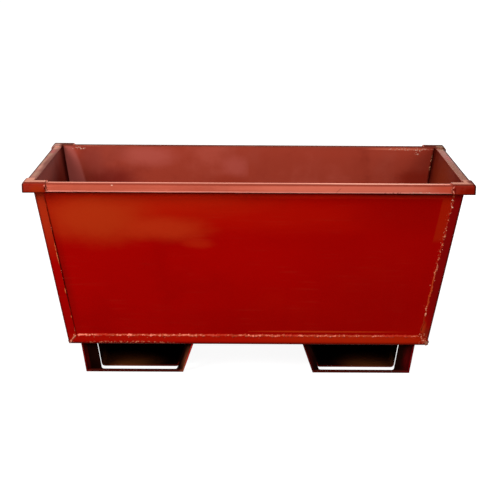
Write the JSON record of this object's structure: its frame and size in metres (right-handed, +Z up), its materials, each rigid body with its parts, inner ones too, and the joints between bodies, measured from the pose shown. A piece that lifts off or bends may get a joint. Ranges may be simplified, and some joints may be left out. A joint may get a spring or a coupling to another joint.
{
  "type": "cement tub",
  "caption": "Long open steel tub with outward leaning walls, a folded rim with corner caps, and fork pockets underneath, for carrying wet cement on a building site.",
  "frame": {"origin": "on the ground, under the middle of the tub", "axes": "+X along the tub's length, +Y from the front to the rear, +Z up"},
  "size_m": [1.2, 0.64, 0.56],
  "materials": {
    "body_paint": "satin red oxide paint",
    "rim_paint": "satin red oxide paint",
    "cap_paint": "satin red oxide paint",
    "pocket_paint": "dull red oxide paint",
    "weld_paint": "painted weld run"
  },
  "bodies": {
    "root": {"floor_tray": "body_paint", "front_wall": "body_paint", "rear_wall": "body_paint", "left_end_wall": "body_paint", "right_end_wall": "body_paint", "front_rim_rail": "rim_paint", "rear_rim_rail": "rim_paint", "left_rim_rail": "rim_paint", "right_rim_rail": "rim_paint", "front_left_corner_cap": "cap_paint", "front_right_corner_cap": "cap_paint", "rear_left_corner_cap": "cap_paint", "rear_right_corner_cap": "cap_paint", "left_fork_sleeve": "pocket_paint", "right_fork_sleeve": "pocket_paint", "front_left_mouth_frame": "pocket_paint", "front_right_mouth_frame": "pocket_paint", "rear_left_mouth_frame": "pocket_paint", "rear_right_mouth_frame": "pocket_paint", "corner_seam_welds": "weld_paint", "floor_seam_welds": "weld_paint", "mitre_welds": "weld_paint", "floor_end_welds": "weld_paint", "rim_rail_welds": "weld_paint", "corner_cap_welds": "weld_paint", "fork_sleeve_welds": "weld_paint", "mouth_frame_welds": "weld_paint"}
  },
  "joints": []
}
